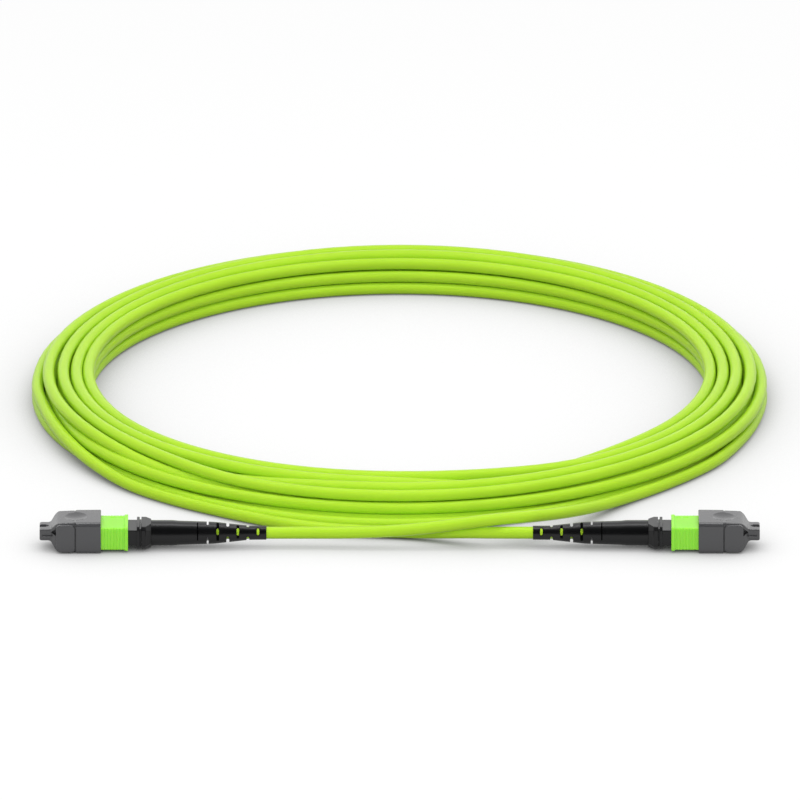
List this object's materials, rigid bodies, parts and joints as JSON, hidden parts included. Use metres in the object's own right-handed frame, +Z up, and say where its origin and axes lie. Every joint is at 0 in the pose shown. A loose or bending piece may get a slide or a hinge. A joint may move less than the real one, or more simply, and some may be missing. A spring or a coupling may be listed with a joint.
{
  "type": "mpo fibre patch lead",
  "caption": "Round multi-fibre patch lead, coiled, with a push-on plug, sliding sleeve, slotted boot and dust cap at each end.",
  "frame": {"origin": "point on the floor midway between the two plugs, below their common axis", "axes": "+X along the plugs' axis towards the right plug's tip, +Y towards the coil, +Z up"},
  "size_m": [0.242, 0.2664, 0.0127],
  "materials": {
    "cap_grey": "moulded, light satin",
    "sleeve_green": "moulded, satin",
    "spring_steel": "drawn wire",
    "housing_black": "moulded, satin",
    "ferrule_dark": "glass-filled, ground end face",
    "pin_steel": "ground and polished",
    "clamp_steel": "stamped",
    "tail_rubber": "soft, dull",
    "ribbon_plastic": "coated fibres",
    "push_black": "moulded, satin",
    "crimp_metal": "turned",
    "boot_black": "soft satin",
    "jacket_green": "extruded, satin"
  },
  "bodies": {
    "lead": {"inner_housing_right": "housing_black", "coupling_springs_right": "spring_steel", "ferrule_spring_right": "spring_steel", "spring_push_right": "push_black", "crimp_sleeve_right": "crimp_metal", "boot_right": "boot_black", "cable_end_right": "jacket_green", "inner_housing_left": "housing_black", "coupling_springs_left": "spring_steel", "ferrule_spring_left": "spring_steel", "spring_push_left": "push_black", "crimp_sleeve_left": "crimp_metal", "boot_left": "boot_black", "cable_end_left": "jacket_green", "lead_left": "jacket_green", "lead_right": "jacket_green", "cable_coil": "jacket_green"},
    "cap_right": {"dust_cap_right": "cap_grey"},
    "sleeve_right": {"coupling_sleeve_right": "sleeve_green"},
    "ferrule_right": {"ferrule_right": "ferrule_dark", "guide_pins_right": "pin_steel", "pin_clamp_right": "clamp_steel", "ferrule_boot_right": "tail_rubber", "fibre_ribbon_right": "ribbon_plastic"},
    "cap_left": {"dust_cap_left": "cap_grey"},
    "sleeve_left": {"coupling_sleeve_left": "sleeve_green"},
    "ferrule_left": {"ferrule_left": "ferrule_dark", "guide_pins_left": "pin_steel", "pin_clamp_left": "clamp_steel", "ferrule_boot_left": "tail_rubber", "fibre_ribbon_left": "ribbon_plastic"}
  },
  "joints": [
    {"name": "cap_pull_right", "type": "slide", "parent": "lead", "child": "cap_right", "axis": [1, 0, 0], "range_m": [0, 0.03]},
    {"name": "sleeve_slide_right", "type": "slide", "parent": "lead", "child": "sleeve_right", "axis": [-1, 0, 0], "range_m": [0, 0.0023], "stiffness_N_per_m": 300, "springref_m": -0.004, "deforming": ["coupling_springs_right"]},
    {"name": "ferrule_slide_right", "type": "slide", "parent": "lead", "child": "ferrule_right", "axis": [-1, 0, 0], "range_m": [0, 0.0008], "stiffness_N_per_m": 600, "springref_m": -0.003, "deforming": ["ferrule_spring_right"]},
    {"name": "cap_pull_left", "type": "slide", "parent": "lead", "child": "cap_left", "axis": [-1, 0, 0], "range_m": [0, 0.03]},
    {"name": "sleeve_slide_left", "type": "slide", "parent": "lead", "child": "sleeve_left", "axis": [1, 0, 0], "range_m": [0, 0.0023], "stiffness_N_per_m": 300, "springref_m": -0.004, "deforming": ["coupling_springs_left"]},
    {"name": "ferrule_slide_left", "type": "slide", "parent": "lead", "child": "ferrule_left", "axis": [1, 0, 0], "range_m": [0, 0.0008], "stiffness_N_per_m": 600, "springref_m": -0.003, "deforming": ["ferrule_spring_left"]}
  ]
}
